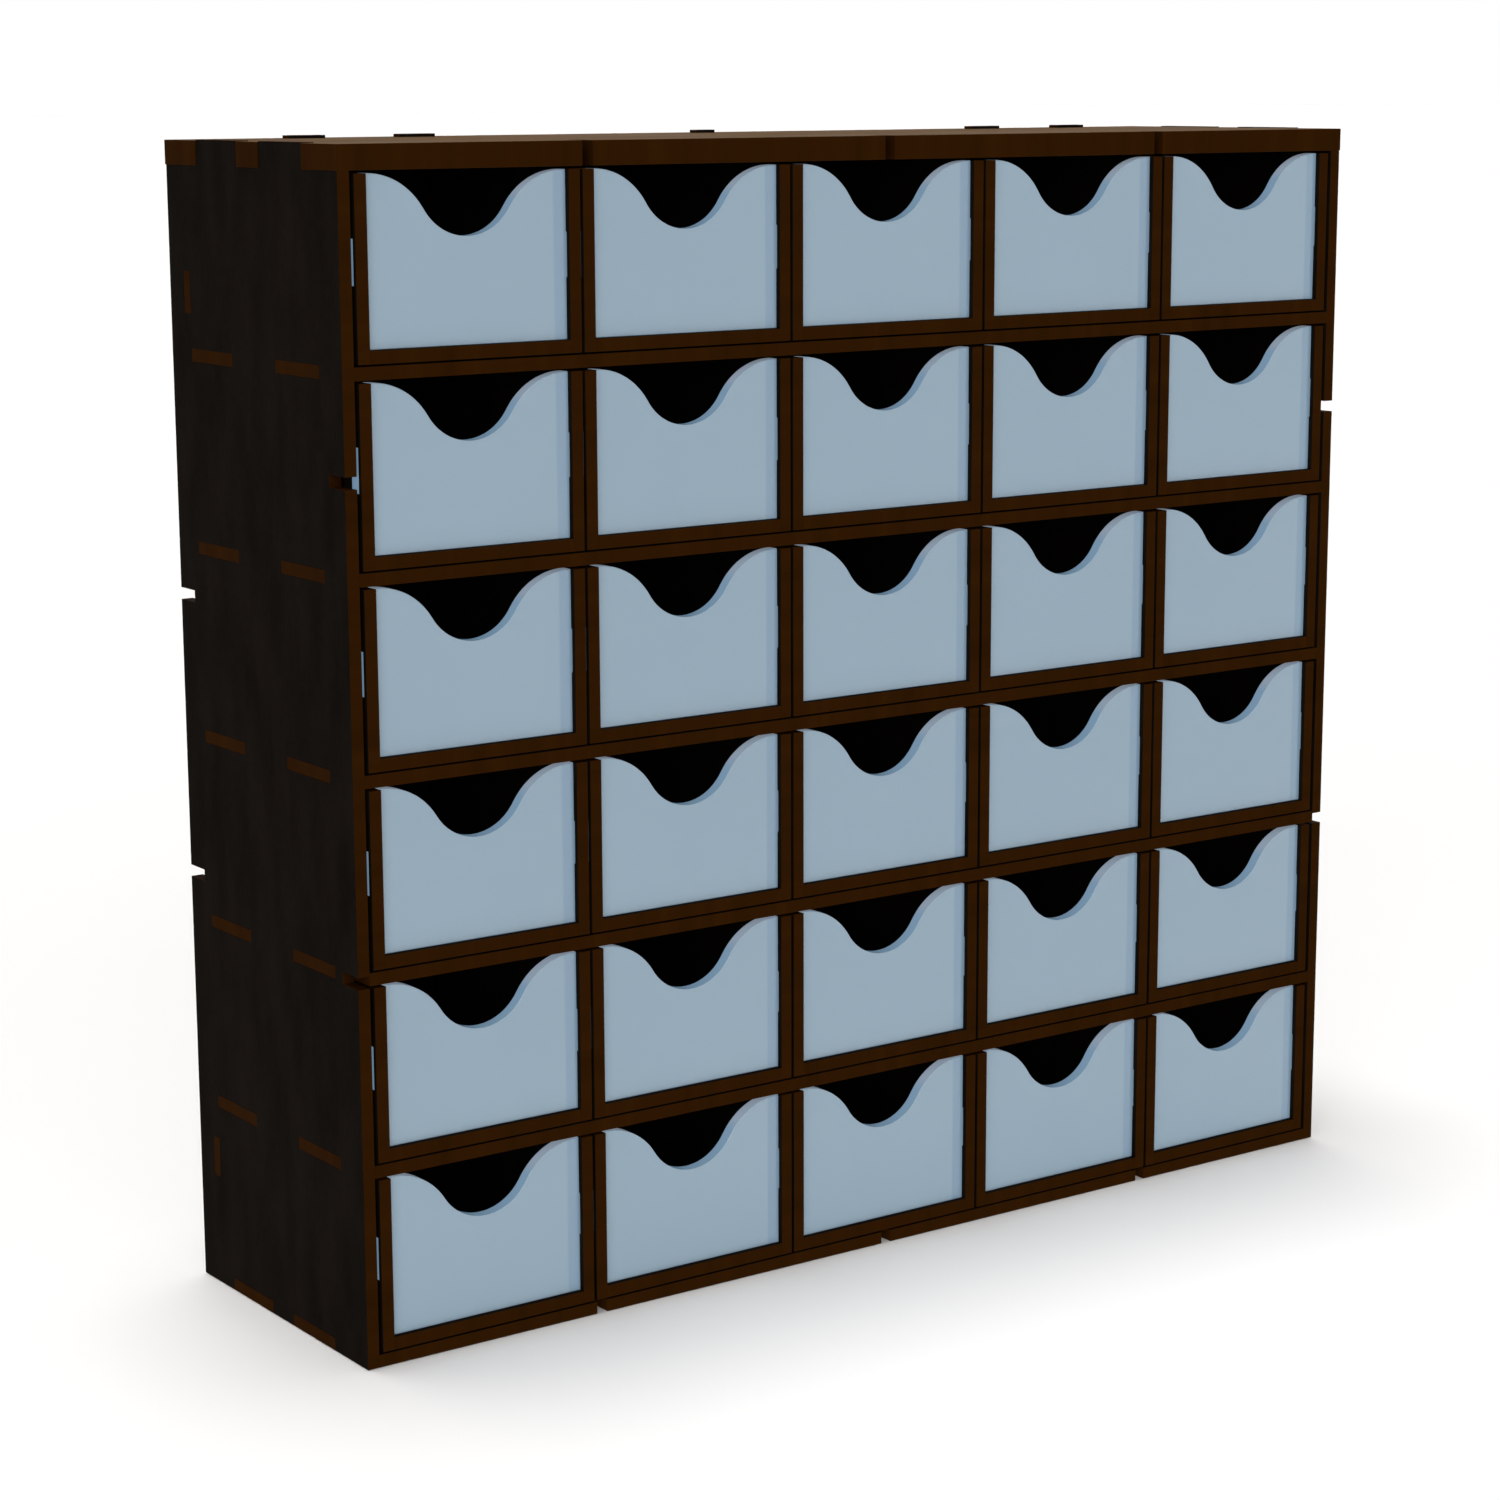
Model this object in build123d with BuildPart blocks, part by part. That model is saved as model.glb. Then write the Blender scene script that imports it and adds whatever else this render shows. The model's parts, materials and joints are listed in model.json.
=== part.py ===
from build123d import *
import os

# A block of small drawers, slotted together from thin hardboard, with scooped acrylic drawer fronts.
# Millimetres, +Z up. The origin is the middle of the footprint on the surface that the unit stands on,
# and the drawers face -Y.

# Sheet stock
board = 3.2  # hardboard of the carcass and the drawers
top_board = 6.0  # thicker board of the top
acrylic = 3.2  # sheet of the drawer fronts

# Drawers in their bays
columns = 5
rows = 6
drawer_width = 61.3
drawer_height = 43.65
drawer_gap = 0.8  # between neighbours on one shelf
side_gap = 1.15  # between an end drawer and the side panel
foot_gap = 0.45  # under each drawer
head_gap = 0.7  # above each drawer
rear_gap = 1.0  # behind each drawer
bay_depth = 76.3  # from the front edges to the back panel
rear_inset = 7.6  # from the back panel to the rear edges

# Joints of the carcass
shelf_tenon = 21.5  # length of a shelf tenon along the depth
shelf_tenon_start = 11.1  # front edge to the first shelf tenon
side_tab = 21.5  # length of a side panel's tab in the top, and of a bottom tenon
side_tab_space = 11.0  # between the two of them
back_tab = 10.4  # height of the back panel's tabs in the sides
back_tab_reach = 13.8  # from the outermost shelves to the middle of those tabs
rail_tab = 10.4  # width of the back panel's tabs in top and bottom
rail_tab_columns = (1.509, 2.021)  # their places from the middle, counted in columns
key_tab = 6.0  # width of the narrow one near the middle
key_tab_offset = -4.0  # its place beside the middle
side_tab_proud = 0.2  # what the side panels' tabs stand above the top
rail_tab_proud = 0.8  # what the back panel's tabs stand above it
finger_proud = 0.3  # what the top's fingers stand out past the sides

# Notches in the outer edges, where a connector clips two units together
connector_depth = 7.5
connector_width = 3.0
connector_spread = 182.5  # between the outer notches of top and bottom
front_connector_rows = (2.02, 4.51)  # heights above the foot, counted in rows
rear_connector_rows = (2.265, 3.767)

# Drawer details
front_recess = 1.3  # acrylic front behind the walls' front edges
front_lift = 0.1  # under the acrylic front
front_side_gap = 0.15  # between the acrylic front and each wall
front_tab = 10.8  # height of the front's tab in each wall
scoop_depth = 15.0
scoop_radius = 13.7  # round bottom of the scoop
scoop_shoulder = 0.5  # flat left at each end of the front's top edge
floor_tenon = 30.0  # length of the drawer floor's tenon in each wall
tail_tab = 14.0  # height of the drawer back's tab in each wall

# Sizes that follow
pitch = drawer_width + drawer_gap
bay_width = columns * drawer_width + (columns - 1) * drawer_gap + 2 * side_gap
bay_height = foot_gap + drawer_height + head_gap
level_step = bay_height + board
width = bay_width + 2 * board
depth = bay_depth + board + rear_inset
side_height = rows * level_step
front = -depth / 2
rear = depth / 2
back_front = front + bay_depth
back_rear = back_front + board
side_tab_height = top_board + side_tab_proud
rail_tab_height = top_board + rail_tab_proud
tenon_x = (bay_width + board) / 2
drawer_depth = bay_depth - rear_gap
inner_width = drawer_width - 2 * board
wall_x = (drawer_width - board) / 2
front_foot = board + front_lift
front_half = inner_width / 2 - front_side_gap
front_tab_level = (front_foot + drawer_height) / 2
front_tab_reach = front_side_gap + board
front_tab_x = front_half + front_tab_reach / 2
tail_tab_level = (board + drawer_height) / 2

shelf_levels = [row * level_step for row in range(1, rows)]
shelf_tenon_places = [front + shelf_tenon_start + shelf_tenon / 2, back_front - shelf_tenon / 2]
side_tab_places = [-(side_tab + side_tab_space) / 2, (side_tab + side_tab_space) / 2]
back_middle = board + (side_height - board) / 2
back_tab_levels = [shelf_levels[0] - back_tab_reach, shelf_levels[-1] + board + back_tab_reach]
end_column = (columns - 1) / 2 * pitch
rail_tab_places = [way * count * pitch for way in (-1, 1) for count in rail_tab_columns]
connector_places = [-connector_spread / 2, 0, connector_spread / 2]
front_connector_levels = [count * level_step for count in front_connector_rows]
rear_connector_levels = [count * level_step for count in rear_connector_rows]


def pairs(firsts, seconds):
    """Every place whose first coordinate is in one list and whose second is in the other."""
    return [(first, second) for first in firsts for second in seconds]


def side_panel(plane):
    """Side drawn on its left face: tabs for the top, notches and slots for the other boards."""
    with BuildPart() as panel:
        with BuildSketch(plane):
            with Locations((0, side_height / 2)):
                Rectangle(depth, side_height)
            with Locations(pairs(side_tab_places, [side_height + side_tab_height / 2])):
                Rectangle(side_tab, side_tab_height)
            with Locations(pairs(side_tab_places, [board / 2])):
                Rectangle(side_tab, board, mode=Mode.SUBTRACT)
            with Locations(pairs(shelf_tenon_places, [level + board / 2 for level in shelf_levels])):
                Rectangle(shelf_tenon, board, mode=Mode.SUBTRACT)
            with Locations(pairs([back_front + board / 2], back_tab_levels)):
                Rectangle(board, back_tab, mode=Mode.SUBTRACT)
            with Locations(pairs([front + connector_depth / 2], front_connector_levels)):
                Rectangle(connector_depth, connector_width, mode=Mode.SUBTRACT)
            with Locations(pairs([rear - connector_depth / 2], rear_connector_levels)):
                Rectangle(connector_depth, connector_width, mode=Mode.SUBTRACT)
        extrude(amount=board)
    return panel.part


def cut_rail_slots():
    """Slots for the back panel's tabs and connector notches, in the sketch of the top or the bottom."""
    with Locations(pairs(rail_tab_places, [back_front + board / 2])):
        Rectangle(rail_tab, board, mode=Mode.SUBTRACT)
    with Locations((key_tab_offset, back_front + board / 2)):
        Rectangle(key_tab, board, mode=Mode.SUBTRACT)
    with Locations(pairs(connector_places, [front + connector_depth / 2])):
        Rectangle(connector_width, connector_depth, mode=Mode.SUBTRACT)


def top_panel():
    """Thick top, whose fingers stand between the side panels' tabs."""
    finger_x = (width - board + finger_proud) / 2
    with BuildPart() as panel:
        with BuildSketch(Plane.XY.offset(side_height)):
            Rectangle(width + 2 * finger_proud, depth)
            with Locations(pairs([-finger_x, finger_x], side_tab_places)):
                Rectangle(board + finger_proud, side_tab, mode=Mode.SUBTRACT)
            cut_rail_slots()
        extrude(amount=top_board)
    return panel.part


def bottom_panel():
    """Bottom between the sides, with two tenons in each."""
    with BuildPart() as panel:
        with BuildSketch(Plane.XY):
            Rectangle(bay_width, depth)
            with Locations(pairs([-tenon_x, tenon_x], side_tab_places)):
                Rectangle(board, side_tab)
            cut_rail_slots()
        extrude(amount=board)
    return panel.part


def shelf(level):
    """Shelf from the front edge to the back panel, with two tenons in each side."""
    with BuildPart() as panel:
        with BuildSketch(Plane.XY.offset(level)):
            with Locations((0, front + bay_depth / 2)):
                Rectangle(bay_width, bay_depth)
            with Locations(pairs([-tenon_x, tenon_x], shelf_tenon_places)):
                Rectangle(board, shelf_tenon)
        extrude(amount=board)
    return panel.part


def back_panel():
    """Inset back with tabs on all four edges, drawn on its rear face."""
    with BuildPart() as panel:
        with BuildSketch(Plane.XZ.offset(-back_rear)):
            with Locations((0, back_middle)):
                Rectangle(bay_width, side_height - board)
            with Locations(pairs([-tenon_x, tenon_x], back_tab_levels)):
                Rectangle(board, back_tab)
            for tab, places in ((rail_tab, rail_tab_places), (key_tab, [key_tab_offset])):
                with Locations(pairs(places, [side_height + rail_tab_height / 2])):
                    Rectangle(tab, rail_tab_height)
                with Locations(pairs(places, [board / 2])):
                    Rectangle(tab, board)
        extrude(amount=board)
    return panel.part


def drawer_wall(plane):
    """Drawer side drawn on its left face: slot for the front's tab, notches for floor and back."""
    with BuildPart() as wall:
        with BuildSketch(plane):
            with Locations((front + drawer_depth / 2, drawer_height / 2)):
                Rectangle(drawer_depth, drawer_height)
            with Locations((front + front_recess + acrylic / 2, front_tab_level)):
                Rectangle(acrylic, front_tab, mode=Mode.SUBTRACT)
            with Locations((front + drawer_depth / 2, board / 2)):
                Rectangle(floor_tenon, board, mode=Mode.SUBTRACT)
            with Locations((front + drawer_depth - board / 2, tail_tab_level)):
                Rectangle(board, tail_tab, mode=Mode.SUBTRACT)
        extrude(amount=board)
    return wall.part


def drawer_floor():
    """Drawer bottom between the walls, with one tenon in each."""
    with BuildPart() as piece:
        with BuildSketch(Plane.XY):
            with Locations((0, front + drawer_depth / 2)):
                Rectangle(inner_width, drawer_depth)
            with Locations(pairs([-wall_x, wall_x], [front + drawer_depth / 2])):
                Rectangle(board, floor_tenon)
        extrude(amount=board)
    return piece.part


def drawer_back():
    """Drawer back on the floor's rear end, with one tab in each wall."""
    with BuildPart() as piece:
        with BuildSketch(Plane.XZ.offset(-(front + drawer_depth))):
            with Locations((0, tail_tab_level)):
                Rectangle(inner_width, drawer_height - board)
            with Locations(pairs([-wall_x, wall_x], [tail_tab_level])):
                Rectangle(board, tail_tab)
        extrude(amount=board)
    return piece.part


def drawer_front():
    """Acrylic front, whose top edge dips in three arcs, tangent to each other and to the flat ends."""
    span = front_half - scoop_shoulder
    radii = (span**2 + scoop_depth**2) / (2 * scoop_depth)  # of one end arc and the middle arc together
    share = scoop_radius / radii
    bend_x = span * share
    bend_z = drawer_height - scoop_depth + scoop_radius + (scoop_depth - radii) * share
    right_end = [(front_half, drawer_height), (front_half, front_foot)]
    left_end = [(-front_half, front_foot), (-front_half, drawer_height)]
    with BuildPart() as piece:
        with BuildSketch(Plane.XZ.offset(-(front + front_recess + acrylic))):
            with BuildLine():
                fall = TangentArc((-span, drawer_height), (-bend_x, bend_z), tangent=(1, 0))
                dip = TangentArc(fall @ 1, (bend_x, bend_z), tangent=fall % 1)
                rise = TangentArc(dip @ 1, (span, drawer_height), tangent=dip % 1)
                Polyline(rise @ 1, *right_end, *left_end, fall @ 0)
            make_face()
            with Locations(pairs([-front_tab_x, front_tab_x], [front_tab_level])):
                Rectangle(front_tab_reach, front_tab)
        extrude(amount=acrylic)
    return piece.part


def save(piece, label):
    """Names a finished piece and writes it."""
    piece.label = label
    export_step(piece, f"parts/{label}.step")


os.makedirs("parts", exist_ok=True)

save(side_panel(Plane.YZ.offset(-width / 2)), "left_side")
save(side_panel(Plane.YZ.offset(width / 2 - board)), "right_side")
save(top_panel(), "top_panel")
save(bottom_panel(), "bottom_panel")
save(back_panel(), "back_panel")
for number, level in enumerate(reversed(shelf_levels), start=1):
    save(shelf(level), f"shelf_{number}")

drawer_pieces = {
    "left_wall": drawer_wall(Plane.YZ.offset(-drawer_width / 2)),
    "right_wall": drawer_wall(Plane.YZ.offset(drawer_width / 2 - board)),
    "floor": drawer_floor(),
    "back": drawer_back(),
    "front": drawer_front(),
}
for row in range(rows):
    for column in range(columns):
        across = column * pitch - end_column
        up = board + foot_gap + (rows - 1 - row) * level_step
        pieces = []
        for name, piece in drawer_pieces.items():
            copy = piece.moved(Location((across, 0, up)))
            copy.label = name
            pieces.append(copy)
        save(Compound(children=pieces), f"drawer_r{row + 1}_c{column + 1}")
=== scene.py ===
"""Block of thirty small drawers, slotted together from stained hardboard, with scooped acrylic fronts.

Each board is a grid of cells, filled or open, drawn through the thickness of its sheet, so its tabs, slots
and notches are real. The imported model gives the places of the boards, and the panel their joints and finish.
Lengths are in metres.
"""
import json
import math

import bpy
import numpy as np
from bpy.props import FloatProperty, FloatVectorProperty, IntProperty, PointerProperty
from mathutils import Matrix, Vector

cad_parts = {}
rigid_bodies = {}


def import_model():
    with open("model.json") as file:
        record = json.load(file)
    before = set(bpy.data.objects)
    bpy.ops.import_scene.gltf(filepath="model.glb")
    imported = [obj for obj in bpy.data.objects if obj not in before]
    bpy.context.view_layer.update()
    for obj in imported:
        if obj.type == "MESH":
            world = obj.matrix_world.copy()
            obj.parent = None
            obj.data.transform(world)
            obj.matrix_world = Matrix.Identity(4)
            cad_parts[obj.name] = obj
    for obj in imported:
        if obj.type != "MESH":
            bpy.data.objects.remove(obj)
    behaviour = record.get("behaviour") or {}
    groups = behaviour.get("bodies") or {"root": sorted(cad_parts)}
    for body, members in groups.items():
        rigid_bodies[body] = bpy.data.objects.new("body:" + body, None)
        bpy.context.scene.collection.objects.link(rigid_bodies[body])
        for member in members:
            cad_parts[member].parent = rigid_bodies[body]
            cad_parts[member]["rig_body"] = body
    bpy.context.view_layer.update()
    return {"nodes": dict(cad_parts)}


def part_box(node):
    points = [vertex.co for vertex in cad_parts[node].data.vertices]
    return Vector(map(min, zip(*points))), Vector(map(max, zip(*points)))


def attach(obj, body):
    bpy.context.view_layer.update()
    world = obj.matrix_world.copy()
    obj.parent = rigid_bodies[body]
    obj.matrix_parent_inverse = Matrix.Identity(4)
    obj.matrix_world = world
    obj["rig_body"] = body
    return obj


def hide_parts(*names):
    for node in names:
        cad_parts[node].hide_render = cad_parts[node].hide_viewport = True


bl_info = {
    "name": "Drawer Unit",
    "version": (1, 0, 0),
    "blender": (4, 5, 0),
    "location": "View3D > Sidebar > Drawers",
    "description": "Builds a block of small drawers from slotted boards and scooped acrylic fronts",
    "category": "Object",
}

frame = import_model()


def corners(node):
    """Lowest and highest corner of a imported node."""
    low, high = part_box(node)
    return np.array(low), np.array(high)


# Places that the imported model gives
X, Y, Z = 0, 1, 2
left_low, left_high = corners("left_side")
right_low, right_high = corners("right_side")
top_low, top_high = corners("top_panel")
bottom_low, bottom_high = corners("bottom_panel")
back_low, back_high = corners("back_panel")
shelf_names = sorted(name for name in frame["nodes"] if name.startswith("shelf_"))
drawer_names = sorted(name for name in frame["nodes"] if name.startswith("drawer_"))
drawer_low, drawer_high = corners(drawer_names[0])
board = bottom_high[Z] - bottom_low[Z]
front_edge, rear_edge = left_low[Y], left_high[Y]
head = top_low[Z]
depth_span = [front_edge, rear_edge]
bay_span = [left_high[X], right_low[X]]
side_spans = [[left_low[X], left_high[X]], [right_low[X], right_high[X]]]
back_span = [back_low[Y], back_high[Y]]

# Drawer measures, across from a drawer's middle, along the unit's depth and up from the drawer's underside
drawer_half = (drawer_high[X] - drawer_low[X]) / 2
drawer_height = drawer_high[Z] - drawer_low[Z]
drawer_span = [drawer_low[Y], drawer_high[Y]]
drawer_middle = (drawer_low[Y] + drawer_high[Y]) / 2
inner_half = drawer_half - board
wall_spans = {"left_wall": [-drawer_half, -inner_half], "right_wall": [inner_half, drawer_half]}
tail_level = (board + drawer_height) / 2


def length(name, description, default):
    """Property for a length."""
    return FloatProperty(name=name, description=description, default=default, precision=4, unit="LENGTH")


def colour(name, description, default):
    """Property for a colour, in linear light."""
    return FloatVectorProperty(name=name, description=description, default=default, subtype="COLOR",
                               min=0, max=1)


def share(name, description, default):
    """Property for a plain number from 0 to 1."""
    return FloatProperty(name=name, description=description, default=default, min=0, max=1, precision=3)


class CarcassJoints(bpy.types.PropertyGroup):
    """Tabs, tenons and notches of the carcass boards."""
    shelf_tenon: length("Shelf tenon", "Length of a shelf tenon along the depth", 0.0215)
    shelf_tenon_start: length("Tenon start", "Front edge to the first shelf tenon", 0.0111)
    side_tab: length("Side tab", "Length of a side's tab in the top and of a bottom tenon", 0.0215)
    side_tab_space: length("Tab space", "Space between the two tabs of a side", 0.011)
    back_tab: length("Back tab", "Height of the back's tabs in the sides", 0.0104)
    back_tab_reach: length("Back tab reach", "Outermost shelves to the middle of the back's tabs", 0.0138)
    rail_tab: length("Rail tab", "Width of the back's tabs in top and bottom", 0.0104)
    rail_columns: FloatVectorProperty(name="Rail tab places", default=(1.509, 2.021), size=2,
                                      description="Places of those tabs from the middle, counted in columns")
    key_tab: length("Key tab", "Width of the narrow tab near the middle", 0.006)
    key_tab_offset: length("Key tab offset", "Place of the narrow tab beside the middle", -0.004)
    connector_depth: length("Connector depth", "Depth of a connector notch", 0.0075)
    connector_width: length("Connector width", "Width of a connector notch", 0.003)
    connector_spread: length("Connector spread", "Between the outer notches of top and bottom", 0.1825)
    front_rows: FloatVectorProperty(name="Front notches", default=(2.02, 4.51), size=2,
                                    description="Heights of the sides' front notches, counted in rows")
    rear_rows: FloatVectorProperty(name="Rear notches", default=(2.265, 3.767), size=2,
                                   description="Heights of the sides' rear notches, counted in rows")


class DrawerJoints(bpy.types.PropertyGroup):
    """Details of one drawer."""
    acrylic: length("Acrylic", "Thickness of the front", 0.0032)
    front_recess: length("Front recess", "Front's face behind the walls' front edges", 0.0013)
    front_lift: length("Front lift", "Gap under the front", 0.0001)
    front_side_gap: length("Front side gap", "Gap between the front and each wall", 0.00015)
    front_tab: length("Front tab", "Height of the front's tab in each wall", 0.0108)
    scoop_depth: length("Scoop depth", "Depth of the finger scoop", 0.015)
    scoop_radius: length("Scoop radius", "Radius of the scoop's round bottom", 0.0137)
    scoop_shoulder: length("Scoop shoulder", "Flat left at each end of the front's top edge", 0.0005)
    scoop_steps: IntProperty(name="Scoop steps", default=72, min=8,
                             description="Straight steps along the scoop")
    floor_tenon: length("Floor tenon", "Length of the floor's tenon in each wall", 0.03)
    tail_tab: length("Tail tab", "Height of the drawer back's tab in each wall", 0.014)


class Finish(bpy.types.PropertyGroup):
    """Colours and surfaces of the boards and the acrylic."""
    face_dark: colour("Face, dark", "Dark patches of a board's stained face", (0.0056, 0.0040, 0.0030))
    face_light: colour("Face, light", "Light patches of a board's stained face", (0.0102, 0.0074, 0.0054))
    edge_dark: colour("Edge, dark", "Dark streaks of a cut edge", (0.0226, 0.0072, 0.0009))
    edge_light: colour("Edge, light", "Light streaks of a cut edge", (0.0300, 0.0099, 0.0012))
    # Painted sheen: the top's paler brown face stands for the brown sheen that the top shows at a low angle.
    top_sheen_dark: colour("Top, dark", "Dark patches of the top's paler face", (0.078, 0.0415, 0.0150))
    top_sheen_light: colour("Top, light", "Light patches of the top's paler face", (0.097, 0.0515, 0.0190))
    board_shine: share("Board shine", "Strength of a board's shine", 0.002)
    acrylic_face: colour("Acrylic face", "Colour of the fronts", (0.261, 0.362, 0.450))
    acrylic_pale: colour("Acrylic, pale", "Paler clouds in the fronts", (0.275, 0.378, 0.468))
    acrylic_edge: colour("Acrylic edge", "Colour of the fronts' cut edges", (0.152, 0.216, 0.298))
    # Painted glow: emission on the fronts' cut edges that stands for light carried inside the sheet, painted
    # paler above the glow heights, where the scoop's ends turn up towards the overhead light.
    painted_edge_glow: colour("Acrylic glow", "Light that the fronts pass on to their cut edges",
                         (0.110, 0.185, 0.258))
    painted_high_glow: colour("High glow", "The same light at the ends of the scoops", (0.193, 0.228, 0.273))
    painted_glow_heights: FloatVectorProperty(name="Glow heights", default=(0.0365, 0.039), size=2,
                                      subtype="TRANSLATION",
                                      description="Heights in a drawer between which the glow changes")
    # Painted band: a bluer strip at each front's right end that stands for the sheet's end seen through the
    # clear sheet.
    painted_end_band: colour("End band", "Bluer band where a front shows its right end through the sheet",
                     (0.220, 0.328, 0.435))
    painted_end_band_width: length("End band width", "Width of that band", 0.0038)
    painted_end_band_blur: length("End band blur", "Width of that band's soft border", 0.0006)
    acrylic_shine: share("Acrylic shine", "Strength of the fronts' shine", 0.5)
    acrylic_coat: share("Acrylic coat", "Strength of the fronts' clear coat", 0.4)
    softening: length("Softening", "Width of the softened edges of a board", 0.00006)
    acrylic_softening: length("Acrylic softening", "Width of the fronts' softened edges", 0.00012)


class Studio(bpy.types.PropertyGroup):
    """Floor, light and camera."""
    floor_colour: colour("Floor", "Colour of the floor", (0.91, 0.895, 0.88))
    floor_glow: share("Floor glow", "What the camera sees besides the lit floor", 0.045)
    floor_light: share("Floor light", "Light that the floor throws back", 0.80)
    ambient: share("Ambient", "Light from all round", 0.12)
    overhead: share("Overhead lamp", "Light that the overhead lamp lays on the floor", 0.775)
    front_fill: share("Front lamp", "Light of the front lamp on what faces it", 0.30)
    side_fill: share("Side lamp", "Light of the lamp on the left on what faces it", 0.48)
    lens: FloatProperty(name="Lens", description="Focal length in millimetres", default=82.28)
    eye: FloatVectorProperty(name="Eye", description="Place of the camera", subtype="TRANSLATION",
                             default=(-0.54179, -0.741095, 0.307562))
    yaw: FloatProperty(name="Yaw", description="Turn of the view from +Y towards +X", subtype="ANGLE",
                       default=math.radians(35.490))
    pitch: FloatProperty(name="Pitch", description="Tilt of the view downwards", subtype="ANGLE",
                         default=math.radians(11.034))
    roll: FloatProperty(name="Roll", description="Turn about the line of sight", subtype="ANGLE",
                        default=math.radians(-0.218))


# Sheets as grids of cells

SHEET_AXES = {"x": (Y, Z, X), "y": (Z, X, Y), "z": (X, Y, Z)}  # across, along and through a sheet
NO_SLOTS = np.empty((0, 4))
DECIMALS = 7  # closer lines of a sheet count as one
SHARP_ANGLE = math.radians(30)  # edges that turn more than this are softened
SOFTENING_STEPS = 2


def spans(places, extent):
    """A stretch of one extent about each place."""
    places = np.atleast_1d(places)
    return np.stack([places - extent / 2, places + extent / 2], axis=-1)


def rectangles(across, along):
    """Every rectangle with one stretch across and one along."""
    across = np.atleast_2d(across)
    along = np.atleast_2d(along)
    return np.hstack([np.repeat(across, len(along), axis=0), np.tile(along, (len(across), 1))])


def sheet(normal, through, solid, slots=NO_SLOTS, samples=(), bend=None):
    """Sheet with slots, as points, quads and a mark on the quads of its cut edges.

    The lines of all rectangles divide the sheet's plane (u, v) into cells. A cell is filled where its middle
    lies in a solid rectangle and in no slot. A filled cell has a face at each end of the stretch through the
    sheet, and a wall stands on each line with a filled cell on one side and none on the other. Samples are
    more lines across v, and bend gives the u of a point from its u and v.
    """
    drawn = np.vstack([solid, slots]).round(DECIMALS)
    u_lines = np.unique(drawn[:, :2])
    v_lines = np.unique(np.concatenate([drawn[:, 2:].ravel(), np.round(samples, DECIMALS)]))
    u_middle = (u_lines[1:] + u_lines[:-1]) / 2
    v_middle = (v_lines[1:] + v_lines[:-1]) / 2

    def covered(areas):
        """Cells whose middle lies in one of the areas."""
        in_u = (areas[:, 0, None] < u_middle) & (u_middle < areas[:, 1, None])
        in_v = (areas[:, 2, None] < v_middle) & (v_middle < areas[:, 3, None])
        return (in_u[:, :, None] & in_v[:, None, :]).any(axis=0)

    filled = covered(solid) & ~covered(slots)
    near = np.arange(u_lines.size * v_lines.size).reshape(u_lines.size, v_lines.size)
    far = near + near.size
    ring = np.stack([near[:-1, :-1], near[1:, :-1], near[1:, 1:], near[:-1, 1:]], axis=-1)[filled]
    faces = np.vstack([ring[:, ::-1], ring + near.size])

    step = np.pad(filled, 1).astype(int)
    u_step = np.diff(step, axis=0)[:, 1:-1]
    v_step = np.diff(step, axis=1)[1:-1, :]
    u_wall = np.stack([near[:, :-1], near[:, 1:], far[:, 1:], far[:, :-1]], axis=-1)
    v_wall = np.stack([near[:-1], far[:-1], far[1:], near[1:]], axis=-1)
    walls = np.vstack([u_wall[u_step < 0], u_wall[u_step > 0][:, ::-1],
                       v_wall[v_step < 0], v_wall[v_step > 0][:, ::-1]])

    u, v = np.meshgrid(u_lines, v_lines, indexing="ij")
    if bend is not None:
        u = bend(u, v)
    axes = SHEET_AXES[normal]
    points = np.empty((2 * near.size, 3))
    points[:, axes[0]] = np.tile(u.ravel(), 2)
    points[:, axes[1]] = np.tile(v.ravel(), 2)
    points[:, axes[2]] = np.repeat(through, near.size)
    used, quads = np.unique(np.vstack([faces, walls]), return_inverse=True)
    cut = np.repeat([0.0, 1.0], [len(faces), len(walls)])
    return points[used], quads.reshape(-1, 4), cut


def make_piece(name, shape, node, finish, softening, offset=(0, 0, 0), rounded=False):
    """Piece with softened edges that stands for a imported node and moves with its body.

    The mesh keeps a mark on its cut edges, and each point's place across and up from before the offset.
    """
    points, quads, cut = shape
    mesh = bpy.data.meshes.new(name)
    mesh.from_pydata((points + offset).tolist(), [], quads.tolist())
    mesh.attributes.new("cut_edge", "FLOAT", "FACE").data.foreach_set("value", cut)
    for label, axis in (("own_across", X), ("own_height", Z)):
        mesh.attributes.new(label, "FLOAT", "POINT").data.foreach_set("value", points[:, axis])
    mesh.materials.append(finish)
    mesh.polygons.foreach_set("use_smooth", (cut > 0) & rounded)
    mesh.set_sharp_from_angle(angle=SHARP_ANGLE)
    piece = bpy.data.objects.new(name, mesh)
    bpy.context.scene.collection.objects.link(piece)
    bevel = piece.modifiers.new("softened edges", "BEVEL")
    bevel.width = softening
    bevel.segments = SOFTENING_STEPS
    bevel.limit_method = "ANGLE"
    bevel.angle_limit = SHARP_ANGLE
    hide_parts(node)
    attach(piece, frame["nodes"][node]["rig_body"])


# Shader nodes

VECTOR, NUMBER, COLOUR = "NodeSocketVector", "NodeSocketFloat", "NodeSocketColor"
MIX_COLOURS, MIX_RESULT = (6, 7), 2  # a Mix node's colour sockets, which share their names with others


def empty_tree(block):
    """Node tree of a material or a world, with nothing in it."""
    block.use_nodes = True
    block.node_tree.nodes.clear()
    return block.node_tree


def add_node(tree, kind, values=None, **settings):
    """Node with its settings, and its inputs set to values or linked from other nodes' outputs."""
    node = tree.nodes.new(kind)
    for key, value in settings.items():
        setattr(node, key, value)
    for key, value in (values or {}).items():
        if isinstance(value, bpy.types.NodeSocket):
            tree.links.new(value, node.inputs[key])
        else:
            node.inputs[key].default_value = value
    return node


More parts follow.
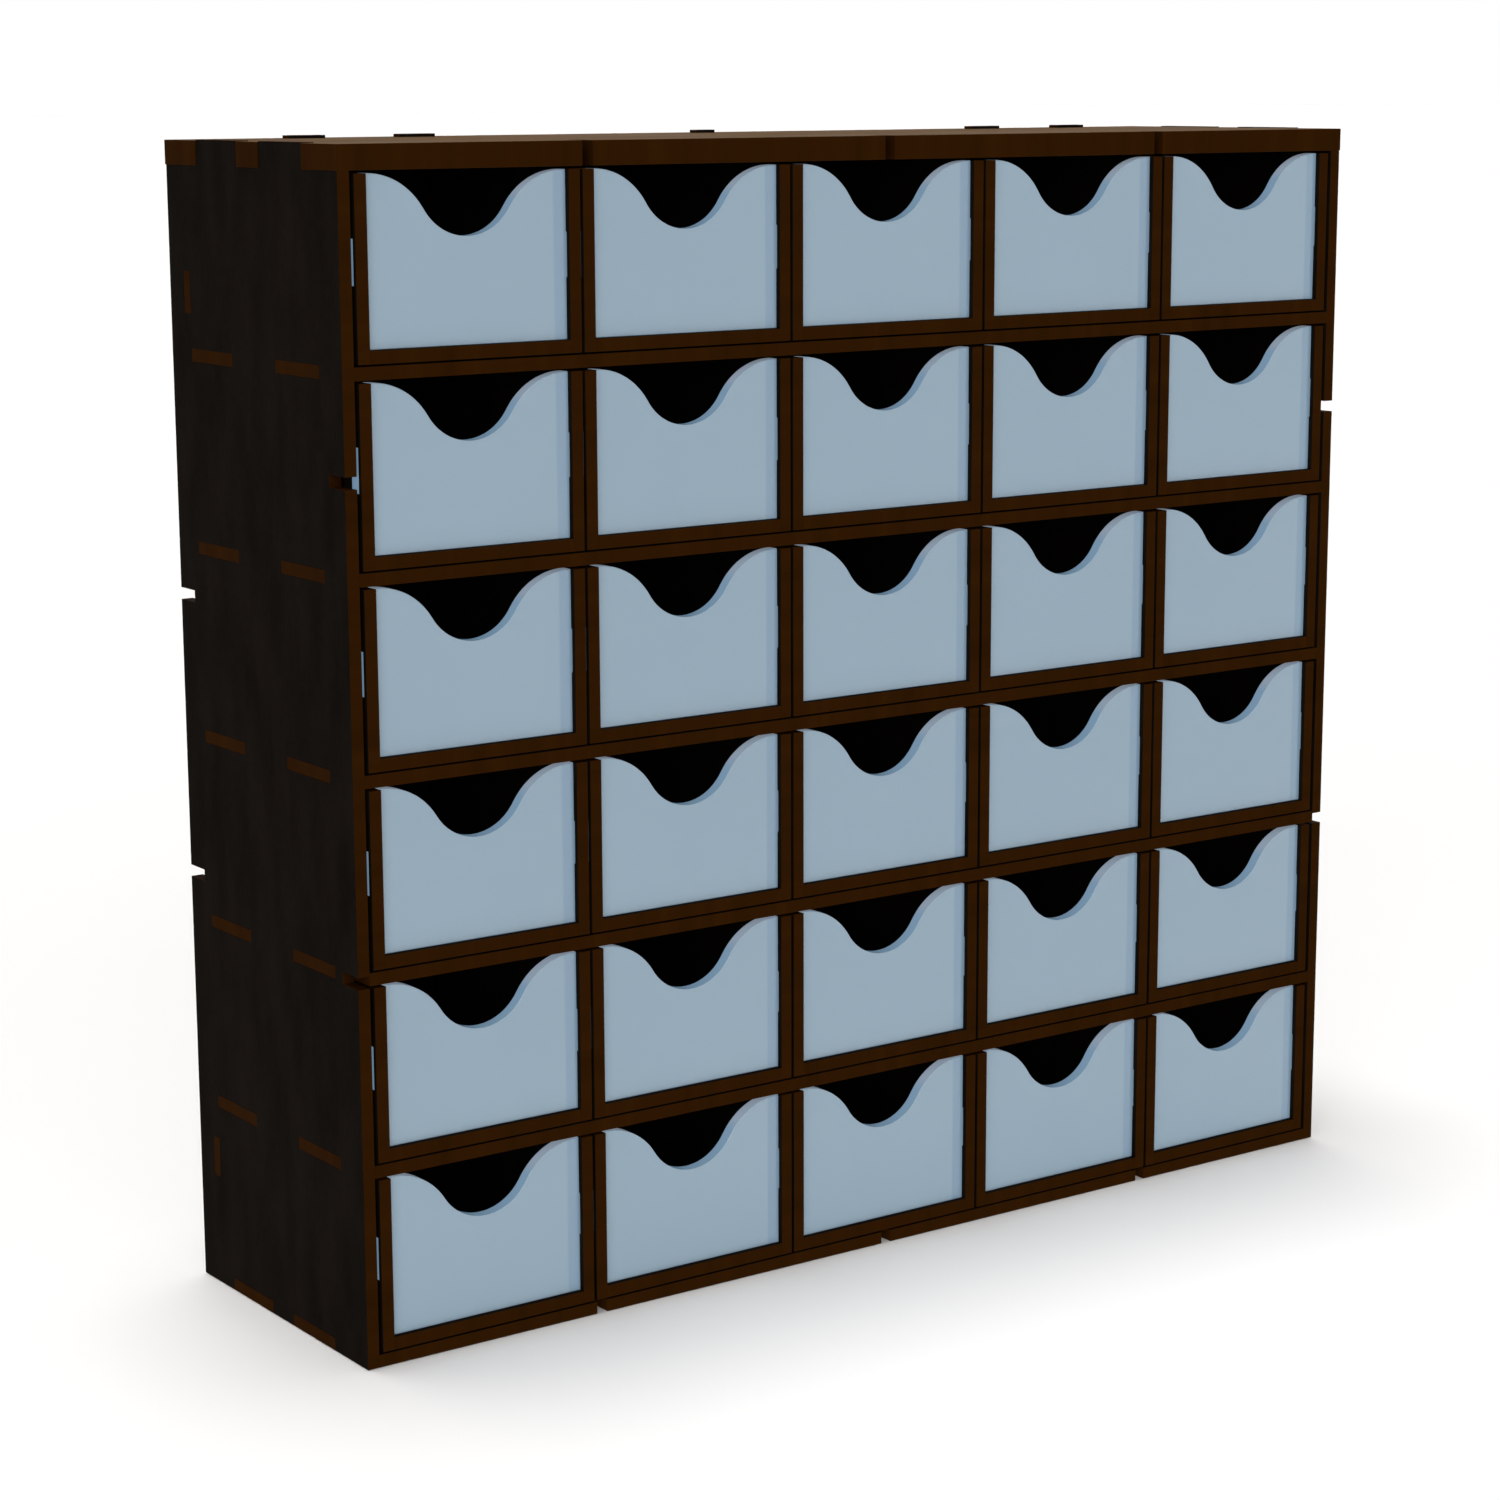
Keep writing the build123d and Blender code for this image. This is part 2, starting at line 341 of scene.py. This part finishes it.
def noise(tree, vector, scale, detail=2.0):
    """Noise from 0 to 1 about a half."""
    values = {"Vector": vector, "Scale": scale, "Detail": detail}
    return add_node(tree, "ShaderNodeTexNoise", values).outputs["Fac"]


def stretch(tree, value, low, high):
    """Value spread so that low becomes 0 and high becomes 1, clamped."""
    values = {"Value": value, "From Min": low, "From Max": high}
    return add_node(tree, "ShaderNodeMapRange", values).outputs["Result"]


def between(tree, factor, first, second):
    """Number that goes from the first to the second with the factor."""
    values = {"Factor": factor, "A": first, "B": second}
    return add_node(tree, "ShaderNodeMix", values).outputs["Result"]


def blend_colours(tree, factor, first, second):
    """Colour that goes from the first to the second with the factor."""
    ends = [end if isinstance(end, bpy.types.NodeSocket) else (*end, 1.0) for end in (first, second)]
    values = {"Factor": factor, **dict(zip(MIX_COLOURS, ends))}
    return add_node(tree, "ShaderNodeMix", values, data_type="RGBA").outputs[MIX_RESULT]


def new_group(name, inputs, outputs):
    """Empty node group with named sockets, and its input and output nodes."""
    group = bpy.data.node_groups.new(name, "ShaderNodeTree")
    for label, kind in inputs:
        group.interface.new_socket(name=label, in_out="INPUT", socket_type=kind)
    for label, kind in outputs:
        group.interface.new_socket(name=label, in_out="OUTPUT", socket_type=kind)
    return group, add_node(group, "NodeGroupInput").outputs, add_node(group, "NodeGroupOutput").inputs


# Shares and ranges of the patterns, which are noise about a half
CLOUD_DETAIL, STREAK_DETAIL = 3.0, 4.0
FIBRE_SHARE, SPECK_SHARE = 0.35, 0.3
FIBRE_RANGE, STREAK_RANGE, MARK_RANGE = (0.36, 0.64), (0.3, 0.7), (0.35, 0.65)


def pressed_fibre_group():
    """Pressed fibre of a board's face: soft clouds some millimetres wide and fine fibres along the grain."""
    if "pressed_fibre" in bpy.data.node_groups:
        return bpy.data.node_groups["pressed_fibre"]
    group, given, result = new_group(
        "pressed_fibre",
        [("Vector", VECTOR), ("Clouds", NUMBER), ("Fibres", NUMBER)],
        [("Tone", NUMBER), ("Height", NUMBER)])
    clouds = noise(group, given["Vector"], given["Clouds"], CLOUD_DETAIL)
    fibres = noise(group, given["Vector"], given["Fibres"])
    tone = stretch(group, between(group, FIBRE_SHARE, clouds, fibres), *FIBRE_RANGE)
    group.links.new(tone, result["Tone"])
    group.links.new(fibres, result["Height"])
    return group


def cut_char_group():
    """Char of a cut edge: streaks through the sheet, laid over the face's colour where the mark says so."""
    if "cut_char" in bpy.data.node_groups:
        return bpy.data.node_groups["cut_char"]
    group, given, result = new_group(
        "cut_char",
        [("Vector", VECTOR), ("Streaks", NUMBER), ("Cut", NUMBER), ("Face", COLOUR), ("Dark", COLOUR),
         ("Light", COLOUR)],
        [("Color", COLOUR), ("Height", NUMBER)])
    streaks = noise(group, given["Vector"], given["Streaks"], STREAK_DETAIL)
    edge = blend_colours(group, stretch(group, streaks, *STREAK_RANGE), given["Dark"], given["Light"])
    group.links.new(blend_colours(group, given["Cut"], given["Face"], edge), result["Color"])
    group.links.new(between(group, given["Cut"], 0.0, streaks), result["Height"])
    return group


def handling_group():
    """Faint marks of handling: broad smudges broken up by fine specks."""
    if "handling" in bpy.data.node_groups:
        return bpy.data.node_groups["handling"]
    group, given, result = new_group(
        "handling",
        [("Vector", VECTOR), ("Smudges", NUMBER), ("Specks", NUMBER)],
        [("Marks", NUMBER)])
    smudges = noise(group, given["Vector"], given["Smudges"], CLOUD_DETAIL)
    specks = noise(group, given["Vector"], given["Specks"])
    marks = stretch(group, between(group, SPECK_SHARE, smudges, specks), *MARK_RANGE)
    group.links.new(marks, result["Marks"])
    return group


def place_group(tree, group, values):
    """Group node with its inputs set or linked."""
    return add_node(tree, "ShaderNodeGroup", values, node_tree=group).outputs


def read_mark(tree, name):
    """Number that a piece's mesh keeps under a name."""
    return add_node(tree, "ShaderNodeAttribute", attribute_name=name).outputs["Fac"]


def new_material(name):
    """Material with its node tree, its object coordinates and its mark of cut edges."""
    material = bpy.data.materials.new(name)
    tree = empty_tree(material)
    place = add_node(tree, "ShaderNodeTexCoord").outputs["Object"]
    return material, tree, place, read_mark(tree, "cut_edge")


def finish_material(tree, values):
    """Principled surface as the tree's output."""
    surface = add_node(tree, "ShaderNodeBsdfPrincipled", values)
    add_node(tree, "ShaderNodeOutputMaterial", {"Surface": surface.outputs["BSDF"]})


# Grain direction of each sheet, and the squeeze of its pattern along the grain or through the sheet
GRAIN = {"x": Z, "y": Z, "z": X}
GRAIN_SQUEEZE = 0.3
STREAK_SQUEEZE = 0.06

# Scales of the patterns, per metre
BOARD_FIBRE = {"Clouds": 130.0, "Fibres": 1300.0}
BOARD_CHAR = {"Streaks": 160.0}
BOARD_HANDLING = {"Smudges": 28.0, "Specks": 900.0}
ACRYLIC_HANDLING = {"Smudges": 45.0, "Specks": 600.0}
ACRYLIC_CLOUDS = 35.0

# Roughness from clean to handled, and the boards' relief
BOARD_ROUGHNESS = (0.42, 0.54)
ACRYLIC_ROUGHNESS = (0.05, 0.11)
COAT_ROUGHNESS = 0.03
RELIEF = {"Strength": 0.25, "Distance": 0.00006}


def squeezed(tree, place, axis, squeeze):
    """Coordinates squeezed along one axis, so that a pattern is drawn out along it."""
    scale = [1.0, 1.0, 1.0]
    scale[axis] = squeeze
    return add_node(tree, "ShaderNodeMapping", {"Vector": place, "Scale": scale}).outputs["Vector"]


def stained_board(normal, kind="face"):
    """Stained hardboard: faint clouds and fibres on near black faces, or on the top's brown faces that are a
    painted sheen, and charred cut edges.
    """
    name = f"stained_{kind}_{normal}"
    if name in bpy.data.materials:
        return bpy.data.materials[name]
    look = bpy.context.scene.drawer_finish
    # The top's brown colours are a painted sheen.
    dark, light = {"face": (look.face_dark, look.face_light), "top": (look.top_sheen_dark, look.top_sheen_light)}[kind]
    material, tree, place, cut = new_material(name)
    fibre = place_group(tree, pressed_fibre_group(), {
        "Vector": squeezed(tree, place, GRAIN[normal], GRAIN_SQUEEZE), **BOARD_FIBRE})
    char = place_group(tree, cut_char_group(), {
        "Vector": squeezed(tree, place, SHEET_AXES[normal][2], STREAK_SQUEEZE), **BOARD_CHAR, "Cut": cut,
        "Face": blend_colours(tree, fibre["Tone"], dark, light),
        "Dark": (*look.edge_dark, 1.0), "Light": (*look.edge_light, 1.0)})
    handling = place_group(tree, handling_group(), {"Vector": place, **BOARD_HANDLING})
    relief = add_node(tree, "ShaderNodeMath", {0: fibre["Height"], 1: char["Height"]}, operation="ADD")
    bump = add_node(tree, "ShaderNodeBump", {"Height": relief.outputs[0], **RELIEF})
    finish_material(tree, {
        "Base Color": char["Color"],
        "Roughness": between(tree, handling["Marks"], *BOARD_ROUGHNESS),
        "Normal": bump.outputs["Normal"],
        "Specular IOR Level": look.board_shine})
    return material


def blue_acrylic():
    """Glossy pale blue acrylic: faint clouds, a painted bluer band at the right end that stands for the
    sheet's end seen through it, and smudges that dull the gloss.

    The cut edges are deeper blue and carry a painted glow, emission that stands for light carried inside the
    sheet, painted paler high up at the scoop's ends.
    """
    if "blue_acrylic" in bpy.data.materials:
        return bpy.data.materials["blue_acrylic"]
    look = bpy.context.scene.drawer_finish
    material, tree, place, cut = new_material("blue_acrylic")
    handling = place_group(tree, handling_group(), {"Vector": place, **ACRYLIC_HANDLING})
    clouds = blend_colours(tree, noise(tree, place, ACRYLIC_CLOUDS), look.acrylic_face, look.acrylic_pale)
    # Painted band near the right end of each front, standing for the sheet's end seen through the sheet
    painted_band_start = inner_half - bpy.context.scene.drawer_details.front_side_gap - look.painted_end_band_width
    band = stretch(tree, read_mark(tree, "own_across"), painted_band_start, painted_band_start + look.painted_end_band_blur)
    face = blend_colours(tree, band, clouds, look.painted_end_band)
    # Painted glow on the cut edges, paler above the painted glow heights
    high = stretch(tree, read_mark(tree, "own_height"), *look.painted_glow_heights)
    glow = blend_colours(tree, high, look.painted_edge_glow, look.painted_high_glow)
    finish_material(tree, {
        "Base Color": blend_colours(tree, cut, face, look.acrylic_edge),
        "Roughness": between(tree, handling["Marks"], *ACRYLIC_ROUGHNESS),
        "Specular IOR Level": look.acrylic_shine,
        "Coat Weight": look.acrylic_coat,
        "Coat Roughness": COAT_ROUGHNESS,
        # Painted glow: emission on the cut edges only
        "Emission Color": blend_colours(tree, cut, (0, 0, 0), glow),
        "Emission Strength": 1.0})
    return material


# Places of the joints

def side_tab_spans(joints):
    """Stretches of a side's two tabs along the depth."""
    offset = (joints.side_tab + joints.side_tab_space) / 2
    return spans((front_edge + rear_edge) / 2 + np.array([-offset, offset]), joints.side_tab)


def shelf_tenon_spans(joints):
    """Stretches of a shelf's two tenons along the depth: one behind the front edge, one at the back panel."""
    first = front_edge + joints.shelf_tenon_start
    return np.array([[first, first + joints.shelf_tenon], [back_low[Y] - joints.shelf_tenon, back_low[Y]]])


def back_tab_spans(joints):
    """Heights of the back's two tabs in each side, outside the lowest and the highest shelf."""
    lowest = corners(shelf_names[-1])[0][Z]
    highest = corners(shelf_names[0])[1][Z]
    return spans([lowest - joints.back_tab_reach, highest + joints.back_tab_reach], joints.back_tab)


def rail_tab_spans(joints):
    """Widths of the back's tabs in top and bottom: two towards each end and one near the middle."""
    pitch = corners("drawer_r1_c2")[0][X] - corners("drawer_r1_c1")[0][X]
    reach = np.array(joints.rail_columns) * pitch
    return np.vstack([spans(np.concatenate([-reach, reach]), joints.rail_tab),
                      spans(joints.key_tab_offset, joints.key_tab)])


def rail_slots(joints):
    """Slots of the back's tabs and connector notches, in the top or the bottom."""
    notches = spans(np.array([-0.5, 0, 0.5]) * joints.connector_spread, joints.connector_width)
    return np.vstack([
        rectangles(rail_tab_spans(joints), back_span),
        rectangles(notches, [front_edge, front_edge + joints.connector_depth])])


class DRAWERS_OT_sides(bpy.types.Operator):
    """Makes the two side panels with their tabs, slots and notches"""
    bl_idname = "drawers.sides"
    bl_label = "Side Panels"

    def execute(self, context):
        joints = context.scene.drawer_carcass
        finish = context.scene.drawer_finish
        row = head / (len(shelf_names) + 1)
        shelf_spans = np.array([[corners(name)[0][Z], corners(name)[1][Z]] for name in shelf_names])
        front_notches = spans(np.array(joints.front_rows) * row, joints.connector_width)
        rear_notches = spans(np.array(joints.rear_rows) * row, joints.connector_width)
        solid = np.vstack([
            rectangles(depth_span, [left_low[Z], head]),
            rectangles(side_tab_spans(joints), [head, left_high[Z]])])
        slots = np.vstack([
            rectangles(side_tab_spans(joints), [bottom_low[Z], bottom_high[Z]]),
            rectangles(shelf_tenon_spans(joints), shelf_spans),
            rectangles(back_span, back_tab_spans(joints)),
            rectangles([front_edge, front_edge + joints.connector_depth], front_notches),
            rectangles([rear_edge - joints.connector_depth, rear_edge], rear_notches)])
        for name, through in zip(("left_side", "right_side"), side_spans):
            make_piece(f"{name}_board", sheet("x", through, solid, slots), name,
                       stained_board("x"), finish.softening)
        return {"FINISHED"}


class DRAWERS_OT_top(bpy.types.Operator):
    """Makes the thick top, whose fingers stand between the sides' tabs"""
    bl_idname = "drawers.top"
    bl_label = "Top"

    def execute(self, context):
        joints = context.scene.drawer_carcass
        finish = context.scene.drawer_finish
        solid = rectangles([top_low[X], top_high[X]], depth_span)
        outer = [[top_low[X], left_high[X]], [right_low[X], top_high[X]]]
        slots = np.vstack([rectangles(outer, side_tab_spans(joints)), rail_slots(joints)])
        # The top's faces get the paler brown of a painted sheen.
        make_piece("top_board", sheet("z", [top_low[Z], top_high[Z]], solid, slots), "top_panel",
                   stained_board("z", "top"), finish.softening)
        return {"FINISHED"}


class DRAWERS_OT_bottom(bpy.types.Operator):
    """Makes the bottom with its tenons in the sides"""
    bl_idname = "drawers.bottom"
    bl_label = "Bottom"

    def execute(self, context):
        joints = context.scene.drawer_carcass
        finish = context.scene.drawer_finish
        solid = np.vstack([rectangles(bay_span, depth_span), rectangles(side_spans, side_tab_spans(joints))])
        shape = sheet("z", [bottom_low[Z], bottom_high[Z]], solid, rail_slots(joints))
        make_piece("bottom_board", shape, "bottom_panel", stained_board("z"), finish.softening)
        return {"FINISHED"}


class DRAWERS_OT_shelves(bpy.types.Operator):
    """Makes the shelves with their tenons in the sides"""
    bl_idname = "drawers.shelves"
    bl_label = "Shelves"

    def execute(self, context):
        joints = context.scene.drawer_carcass
        finish = context.scene.drawer_finish
        solid = np.vstack([rectangles(bay_span, [front_edge, back_low[Y]]),
                           rectangles(side_spans, shelf_tenon_spans(joints))])
        for name in shelf_names:
            low, high = corners(name)
            make_piece(f"{name}_board", sheet("z", [low[Z], high[Z]], solid), name,
                       stained_board("z"), finish.softening)
        return {"FINISHED"}


class DRAWERS_OT_back(bpy.types.Operator):
    """Makes the inset back with its tabs on all four edges"""
    bl_idname = "drawers.back"
    bl_label = "Back"

    def execute(self, context):
        joints = context.scene.drawer_carcass
        finish = context.scene.drawer_finish
        ends = [[back_low[Z], bottom_high[Z]], [head, back_high[Z]]]
        solid = np.vstack([
            rectangles([bottom_high[Z], head], bay_span),
            rectangles(back_tab_spans(joints), side_spans),
            rectangles(ends, rail_tab_spans(joints))])
        make_piece("back_board", sheet("y", back_span, solid), "back_panel", stained_board("y"),
                   finish.softening)
        return {"FINISHED"}


# Drawers

def front_tab_span(joints):
    """Height of the acrylic front's tabs, half way up the front."""
    return spans((board + joints.front_lift + drawer_height) / 2, joints.front_tab)


def scoop_top(across, joints):
    """Height of the front's top edge at each place across it.

    Three tangent arcs: the round bottom's centre lies over the middle, the two ends' centres lie below the
    shoulders, and the radii of a bottom and an end add up to (span squared + depth squared) / (2 depth).
    """
    span = inner_half - joints.front_side_gap - joints.scoop_shoulder
    radii = (span**2 + joints.scoop_depth**2) / (2 * joints.scoop_depth)
    end_radius = radii - joints.scoop_radius
    bend = span * joints.scoop_radius / radii
    out = np.abs(across)
    low = drawer_height - joints.scoop_depth + joints.scoop_radius
    dip = low - np.sqrt(np.maximum(joints.scoop_radius**2 - out**2, 0))
    inward = np.maximum(span - out, 0)
    rise = drawer_height - end_radius + np.sqrt(np.maximum(end_radius**2 - inward**2, 0))
    return np.where(out < bend, dip, rise)


def repeat_in_drawers(part, shape, finish, softening, rounded=False):
    """One such piece in every drawer, set over the drawer's middle and its underside."""
    for name in drawer_names:
        low, high = corners(name)
        offset = np.array([(low[X] + high[X]) / 2, 0, low[Z]])
        make_piece(f"{name}_{part}", shape, name, finish, softening, offset, rounded)


class DRAWERS_OT_walls(bpy.types.Operator):
    """Makes the drawers' walls, slotted for front, floor and back"""
    bl_idname = "drawers.walls"
    bl_label = "Drawer Walls"

    def execute(self, context):
        joints = context.scene.drawer_details
        finish = context.scene.drawer_finish
        front_start = drawer_low[Y] + joints.front_recess
        solid = rectangles(drawer_span, [0, drawer_height])
        slots = np.vstack([
            rectangles([front_start, front_start + joints.acrylic], front_tab_span(joints)),
            rectangles(spans(drawer_middle, joints.floor_tenon), [0, board]),
            rectangles([drawer_high[Y] - board, drawer_high[Y]], spans(tail_level, joints.tail_tab))])
        for part, through in wall_spans.items():
            repeat_in_drawers(part, sheet("x", through, solid, slots), stained_board("x"),
                              finish.softening)
        return {"FINISHED"}


class DRAWERS_OT_floors(bpy.types.Operator):
    """Makes the drawers' floors with a tenon in each wall"""
    bl_idname = "drawers.floors"
    bl_label = "Drawer Floors"

    def execute(self, context):
        joints = context.scene.drawer_details
        finish = context.scene.drawer_finish
        tenons = rectangles(list(wall_spans.values()), spans(drawer_middle, joints.floor_tenon))
        solid = np.vstack([rectangles([-inner_half, inner_half], drawer_span), tenons])
        repeat_in_drawers("floor", sheet("z", [0, board], solid), stained_board("z"),
                          finish.softening)
        return {"FINISHED"}


class DRAWERS_OT_tails(bpy.types.Operator):
    """Makes the drawers' backs with a tab in each wall"""
    bl_idname = "drawers.tails"
    bl_label = "Drawer Backs"

    def execute(self, context):
        joints = context.scene.drawer_details
        finish = context.scene.drawer_finish
        tabs = rectangles(spans(tail_level, joints.tail_tab), list(wall_spans.values()))
        solid = np.vstack([rectangles([board, drawer_height], [-inner_half, inner_half]), tabs])
        shape = sheet("y", [drawer_high[Y] - board, drawer_high[Y]], solid)
        repeat_in_drawers("back", shape, stained_board("y"), finish.softening)
        return {"FINISHED"}


class DRAWERS_OT_fronts(bpy.types.Operator):
    """Makes the acrylic fronts with their scoops and a tab through each wall"""
    bl_idname = "drawers.fronts"
    bl_label = "Acrylic Fronts"

    def execute(self, context):
        joints = context.scene.drawer_details
        finish = context.scene.drawer_finish
        foot = board + joints.front_lift
        half = inner_half - joints.front_side_gap
        scooped = half - joints.scoop_shoulder
        start = drawer_low[Y] + joints.front_recess
        tabs = rectangles(front_tab_span(joints), [[-drawer_half, -half], [half, drawer_half]])
        solid = np.vstack([rectangles([foot, drawer_height], [-half, half]), tabs])
        samples = np.linspace(-scooped, scooped, joints.scoop_steps + 1)

        def bend(height, across):
            """Heights above the foot shrink with the scoop's height over the foot."""
            return foot + (height - foot) * (scoop_top(across, joints) - foot) / (drawer_height - foot)

        shape = sheet("y", [start, start + joints.acrylic], solid, samples=samples, bend=bend)
        repeat_in_drawers("front", shape, blue_acrylic(), finish.acrylic_softening, rounded=True)
        return {"FINISHED"}


# Stage

FLOOR_REACH = 30.0  # half the floor's width
FLOOR_DROP = 0.0002  # gap between the floor and the unit
SENSOR_WIDTH = 36.0  # millimetres
NEAREST, FARTHEST = 0.01, 200.0  # what the camera sees


def studio_floor_material(studio):
    """Pale matt floor: rays that look at it see its shadows on white, and others meet an even light."""
    material = bpy.data.materials.new("studio_floor")
    tree = empty_tree(material)
    matt = add_node(tree, "ShaderNodeBsdfDiffuse", {"Color": (*studio.floor_colour, 1.0)})
    glow = add_node(tree, "ShaderNodeEmission", {"Strength": studio.floor_glow})
    lit = add_node(tree, "ShaderNodeAddShader", {0: matt.outputs[0], 1: glow.outputs[0]})
    even = add_node(tree, "ShaderNodeEmission", {"Strength": studio.floor_light})
    either = add_node(tree, "ShaderNodeMixShader", {
        0: seen_directly(tree), 1: even.outputs[0], 2: lit.outputs[0]})
    add_node(tree, "ShaderNodeOutputMaterial", {"Surface": either.outputs[0]})
    return material


def seen_directly(tree):
    """1 for rays from the camera, from gloss and through clear pieces, and 0 for others."""
    path = add_node(tree, "ShaderNodeLightPath").outputs
    gloss = add_node(tree, "ShaderNodeMath", {0: path["Is Camera Ray"], 1: path["Is Glossy Ray"]},
                     operation="MAXIMUM")
    clear = add_node(tree, "ShaderNodeMath", {0: gloss.outputs[0], 1: path["Is Transmission Ray"]},
                     operation="MAXIMUM")
    return clear.outputs[0]


def add_lamp(name, light, spread, azimuth, elevation):
    """Soft lamp far away: spread is the angle that it fills, azimuth turns from -Y towards +X, in degrees."""
    lamp = bpy.data.lights.new(name, "SUN")
    lamp.energy = math.pi * light
    lamp.angle = math.radians(spread)
    holder = bpy.data.objects.new(name, lamp)
    holder.rotation_euler = (math.radians(90 - elevation), 0, math.radians(azimuth))
    bpy.context.scene.collection.objects.link(holder)


class DRAWERS_OT_stage(bpy.types.Operator):
    """Sets the floor, the light and the camera"""
    bl_idname = "drawers.stage"
    bl_label = "Stage"

    def execute(self, context):
        scene = context.scene
        studio = scene.drawer_studio
        sides = np.array([-FLOOR_REACH, FLOOR_REACH])
        across, along = np.meshgrid(sides, sides)
        ground = np.stack([across, along, np.full_like(across, -FLOOR_DROP)], axis=-1).reshape(-1, 3)
        mesh = bpy.data.meshes.new("floor")
        mesh.from_pydata(ground.tolist(), [], [[0, 1, 3, 2]])
        mesh.materials.append(studio_floor_material(studio))
        floor = bpy.data.objects.new("floor", mesh)
        scene.collection.objects.link(floor)

        world = bpy.data.worlds.new("studio")
        tree = empty_tree(world)
        strength = between(tree, seen_directly(tree), studio.ambient, 1.0)
        sky = add_node(tree, "ShaderNodeBackground", {"Color": (1, 1, 1, 1), "Strength": strength})
        add_node(tree, "ShaderNodeOutputWorld", {"Surface": sky.outputs[0]})
        scene.world = world
        add_lamp("overhead_lamp", studio.overhead, spread=25, azimuth=182, elevation=84.6)
        add_lamp("front_lamp", studio.front_fill, spread=60, azimuth=-10, elevation=15)
        add_lamp("side_lamp", studio.side_fill, spread=50, azimuth=-45, elevation=15)

        lens = bpy.data.cameras.new("camera")
        lens.lens = studio.lens
        lens.sensor_width = SENSOR_WIDTH
        lens.clip_start, lens.clip_end = NEAREST, FARTHEST
        camera = bpy.data.objects.new("camera", lens)
        turn = (Matrix.Rotation(-studio.yaw, 4, "Z") @ Matrix.Rotation(math.pi / 2 - studio.pitch, 4, "X")
                @ Matrix.Rotation(studio.roll, 4, "Z"))
        camera.matrix_world = Matrix.Translation(studio.eye) @ turn
        scene.collection.objects.link(camera)
        scene.camera = camera
        scene.view_settings.view_transform = "Standard"
        return {"FINISHED"}


STEPS = ("sides", "top", "bottom", "shelves", "back", "walls", "floors", "tails", "fronts", "stage")
SETTINGS = {"drawer_carcass": CarcassJoints, "drawer_details": DrawerJoints, "drawer_finish": Finish,
            "drawer_studio": Studio}


class DRAWERS_PT_panel(bpy.types.Panel):
    """Lists the steps that build the unit, and its sizes and colours"""
    bl_idname = "DRAWERS_PT_panel"
    bl_label = "Drawer Unit"
    bl_space_type = "VIEW_3D"
    bl_region_type = "UI"
    bl_category = "Drawers"

    def draw(self, context):
        for step in STEPS:
            self.layout.operator(f"drawers.{step}")
        for name, group in SETTINGS.items():
            box = self.layout.box()
            for key in group.__annotations__:
                box.prop(getattr(context.scene, name), key)


CLASSES = (*SETTINGS.values(), DRAWERS_OT_sides, DRAWERS_OT_top, DRAWERS_OT_bottom, DRAWERS_OT_shelves,
           DRAWERS_OT_back, DRAWERS_OT_walls, DRAWERS_OT_floors, DRAWERS_OT_tails, DRAWERS_OT_fronts,
           DRAWERS_OT_stage, DRAWERS_PT_panel)


def register():
    """Adds the classes and the scene's settings."""
    for each in CLASSES:
        bpy.utils.register_class(each)
    for name, group in SETTINGS.items():
        setattr(bpy.types.Scene, name, PointerProperty(type=group))


def unregister():
    """Takes the settings and the classes away again."""
    for name in SETTINGS:
        delattr(bpy.types.Scene, name)
    for each in reversed(CLASSES):
        bpy.utils.unregister_class(each)


def main():
    """Builds every piece in order."""
    register()
    for step in STEPS:
        getattr(bpy.ops.drawers, step)()


if __name__ == "__main__":
    main()
